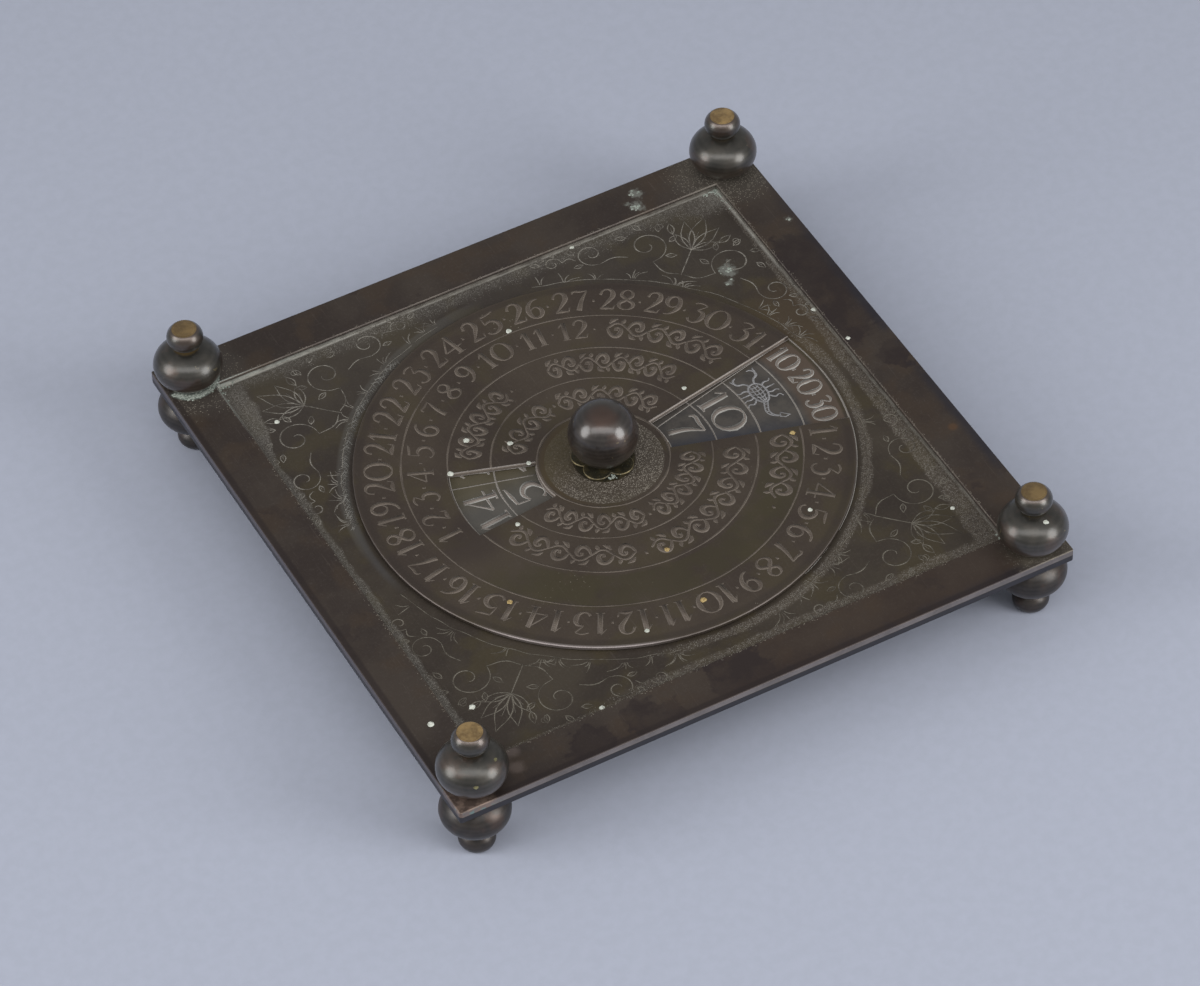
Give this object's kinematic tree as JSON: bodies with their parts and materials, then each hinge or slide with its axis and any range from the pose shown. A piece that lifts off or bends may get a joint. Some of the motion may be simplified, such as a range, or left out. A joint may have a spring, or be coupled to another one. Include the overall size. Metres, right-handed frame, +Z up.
{
  "type": "perpetual desk calendar",
  "caption": "Square footed desk calendar: a knobbed disc with an open and a closed window turns over a fixed dial plate, in a raised square frame with double-ball finials at its corners.",
  "frame": {"origin": "on the surface it stands on, under the middle of the plate", "axes": "+Z up along the disc's pivot, +X towards the open window at rest, -Y towards the viewer"},
  "size_m": [0.1218, 0.1218, 0.0287],
  "materials": {
    "plate": "dark brown patina over engraved sheet",
    "frame": "dark reddish-brown patina, worn at the edges",
    "disc": "dark olive-brown patina over engraved sheet",
    "turned": "near-black polished patina, worn bright on the tips",
    "washer": "brown patina, rubbed bright on the rim",
    "steel": "dull bare steel"
  },
  "bodies": {
    "base": {"base_plate": "plate", "frame_border": "frame", "backing_washer": "steel", "finial_front_left": "turned", "finial_front_right": "turned", "finial_back_right": "turned", "finial_back_left": "turned", "foot_front_left": "turned", "foot_front_right": "turned", "foot_back_right": "turned", "foot_back_left": "turned", "tie_stud_front_left": "steel", "tie_stud_front_right": "steel", "tie_stud_back_right": "steel", "tie_stud_back_left": "steel"},
    "cover": {"cover_disc": "disc", "hub_washer": "washer", "rosette_washer": "washer", "knob_ball": "turned", "pivot_stud": "steel", "spring_washer": "steel", "retaining_nut": "steel"}
  },
  "joints": [
    {"name": "disc_turn", "type": "hinge", "parent": "base", "child": "cover", "pos_m": [0, 0, 0.0149], "axis": [0, 0, 1], "continuous": true}
  ]
}
